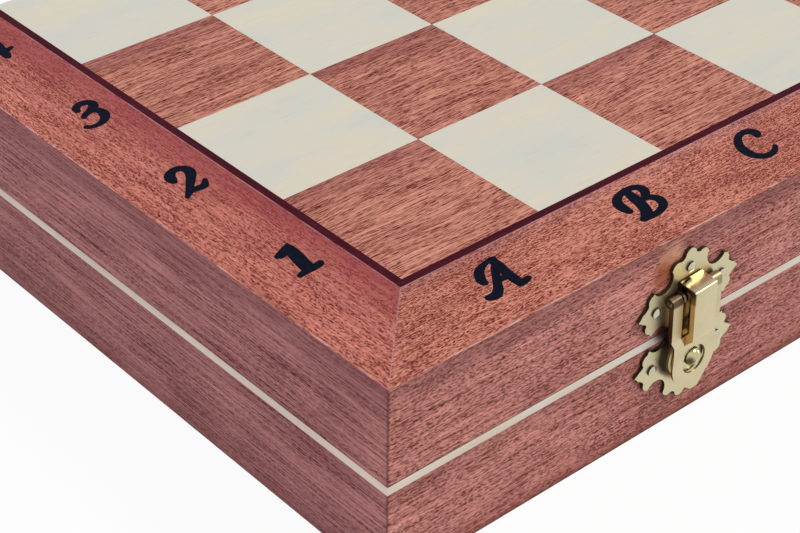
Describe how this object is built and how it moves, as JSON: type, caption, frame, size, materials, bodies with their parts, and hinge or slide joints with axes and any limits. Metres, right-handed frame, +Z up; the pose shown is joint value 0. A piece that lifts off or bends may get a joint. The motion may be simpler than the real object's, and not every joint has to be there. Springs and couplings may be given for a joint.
{
  "type": "folding chessboard",
  "caption": "Folding chessboard: two hinged shallow wooden trays with an inlaid playing field, lettered border and hasp clasps, closed into a case for the pieces.",
  "frame": {"origin": "middle of the closed case's footprint on the surface that it rests on, which is the lower tray's playing face", "axes": "+X along the clasps from file A to file H, -Y towards the clasps and +Y towards the hinges, +Z up"},
  "size_m": [0.35, 0.1827, 0.0488],
  "materials": {
    "mahogany_frame": "satin lacquer, fine open pores",
    "mahogany_veneer": "satin lacquer, fine open pores",
    "maple": "satin lacquer, faint figure",
    "inlay": "dyed veneer, satin lacquer",
    "plywood": "sanded, unfinished",
    "felt": "short felt nap",
    "brass": "pale brass plate, pressed and polished",
    "steel": "nickel plated"
  },
  "bodies": {
    "lower_half": {"lower_rail_front": "mahogany_frame", "lower_rail_back": "mahogany_frame", "lower_rail_left": "mahogany_frame", "lower_rail_right": "mahogany_frame", "lower_panel": "plywood", "lower_border_front": "mahogany_veneer", "lower_border_left": "mahogany_veneer", "lower_border_right": "mahogany_veneer", "lower_inlay_front": "inlay", "lower_inlay_left": "inlay", "lower_inlay_right": "inlay", "lower_light_squares": "maple", "lower_dark_squares": "mahogany_veneer", "lower_lining": "felt", "strip_front": "maple", "strip_back": "maple", "strip_left": "maple", "strip_right": "maple", "hinge_leaf_lower_left": "brass", "hinge_pin_left": "steel", "hinge_leaf_lower_right": "brass", "hinge_pin_right": "steel", "hinge_screws_lower": "brass", "clasp_plate_lower_left": "brass", "clasp_stud_left": "brass", "clasp_plate_lower_right": "brass", "clasp_stud_right": "brass", "clasp_nails_lower": "steel"},
    "upper_half": {"upper_rail_front": "mahogany_frame", "upper_rail_back": "mahogany_frame", "upper_rail_left": "mahogany_frame", "upper_rail_right": "mahogany_frame", "upper_panel": "plywood", "upper_border_front": "mahogany_veneer", "upper_border_left": "mahogany_veneer", "upper_border_right": "mahogany_veneer", "upper_inlay_front": "inlay", "upper_inlay_left": "inlay", "upper_inlay_right": "inlay", "upper_light_squares": "maple", "upper_dark_squares": "mahogany_veneer", "upper_lining": "felt", "hinge_leaf_upper_left": "brass", "hinge_leaf_upper_right": "brass", "hinge_screws_upper": "brass", "clasp_plate_upper_left": "brass", "hasp_pin_left": "steel", "clasp_plate_upper_right": "brass", "hasp_pin_right": "steel", "clasp_nails_upper": "steel"},
    "hasp_left": {"hasp_left": "brass"},
    "hasp_right": {"hasp_right": "brass"}
  },
  "joints": [
    {"name": "case_hinge", "type": "hinge", "parent": "lower_half", "child": "upper_half", "pos_m": [0, 0.08765, 0.0244], "axis": [-1, 0, 0], "range_deg": [0, 180]},
    {"name": "hasp_left_pivot", "type": "hinge", "parent": "upper_half", "child": "hasp_left", "pos_m": [-0.09282, -0.08965, 0.03469], "axis": [-0.9984, 0, -0.0558], "range_deg": [0, 60]},
    {"name": "hasp_right_pivot", "type": "hinge", "parent": "upper_half", "child": "hasp_right", "pos_m": [0.0923, -0.08965, 0.0347], "axis": [-1, 0, 0], "range_deg": [0, 60]}
  ]
}
